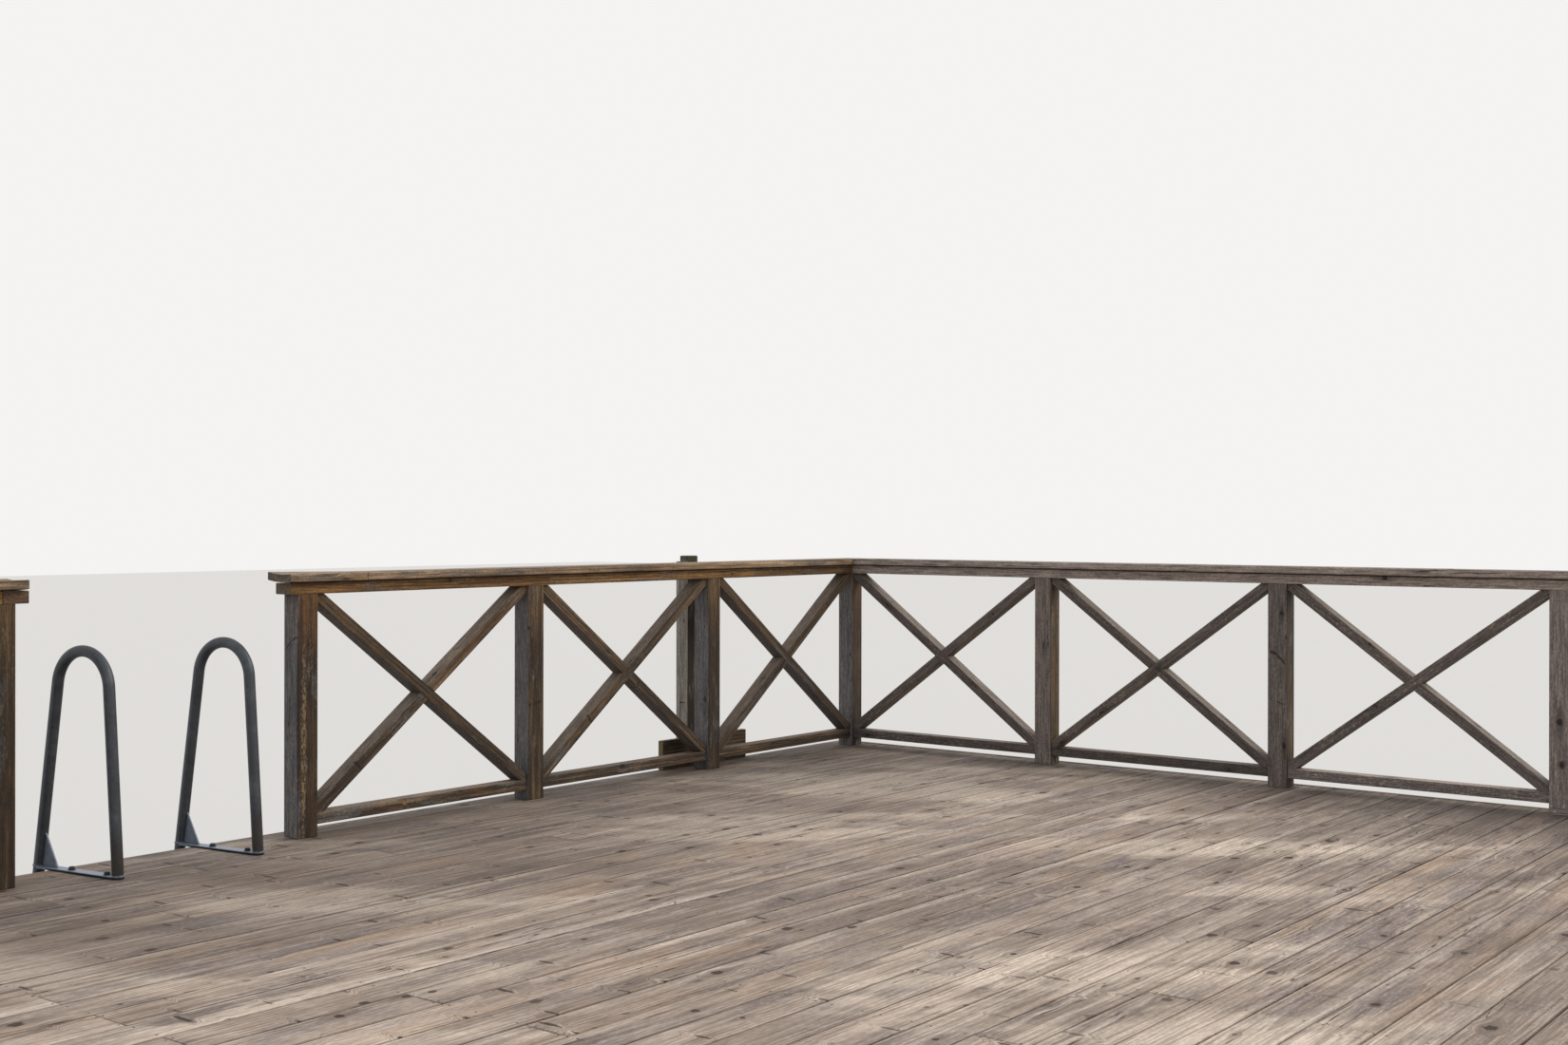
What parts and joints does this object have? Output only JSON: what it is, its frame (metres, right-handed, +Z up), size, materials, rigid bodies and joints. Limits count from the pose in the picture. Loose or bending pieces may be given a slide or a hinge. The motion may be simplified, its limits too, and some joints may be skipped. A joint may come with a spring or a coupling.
{
  "type": "wooden jetty",
  "caption": "Timber jetty: plank deck on joists, bearers and round piles, crossed-brace railings on two sides, an opening with a galvanised bathing ladder, and a mooring post with a plank",
  "frame": {"origin": "on the ground or water level, under the middle of the whole jetty's outline", "axes": "+X right along the water's edge, as seen from the deck, +Y out over the water, +Z up"},
  "size_m": [6.256, 5.4169, 1.944],
  "materials": {
    "deck_timber": "weathered, unpainted",
    "rail_timber": "weathered, unpainted",
    "frame_timber": "weathered, unpainted",
    "pile_timber": "weathered, unpainted",
    "galvanised_steel": "dull zinc"
  },
  "bodies": {
    "root": {"deck_boards_lake": "deck_timber", "deck_boards_middle": "deck_timber", "deck_boards_shore": "deck_timber", "joists": "frame_timber", "headers": "frame_timber", "fascia_left": "deck_timber", "fascia_right": "deck_timber", "bearers": "frame_timber", "piles_lake": "pile_timber", "piles_middle": "pile_timber", "piles_shore": "pile_timber", "left_post_1": "rail_timber", "left_post_2": "rail_timber", "lake_post_1": "rail_timber", "lake_post_2": "rail_timber", "lake_post_3": "rail_timber", "corner_post": "rail_timber", "side_post_1": "rail_timber", "side_post_2": "rail_timber", "side_post_3": "rail_timber", "side_post_4": "rail_timber", "left_bottom_rail": "rail_timber", "lake_bottom_rails": "rail_timber", "side_bottom_rails": "rail_timber", "left_brace": "rail_timber", "lake_brace_1": "rail_timber", "lake_brace_2": "rail_timber", "lake_brace_3": "rail_timber", "side_brace_1": "rail_timber", "side_brace_2": "rail_timber", "side_brace_3": "rail_timber", "side_brace_4": "rail_timber", "left_beam": "rail_timber", "lake_beam": "rail_timber", "side_beam": "rail_timber", "cap_pads": "rail_timber", "left_cap": "rail_timber", "lake_cap_end": "rail_timber", "lake_cap": "rail_timber", "side_cap": "rail_timber", "sole_plate": "rail_timber", "handrail_left": "galvanised_steel", "handrail_right": "galvanised_steel", "foot_bar_left": "galvanised_steel", "foot_bar_right": "galvanised_steel", "ladder_steps": "galvanised_steel", "mooring_post": "rail_timber", "mooring_backing": "rail_timber", "mooring_plank": "rail_timber"}
  },
  "joints": []
}
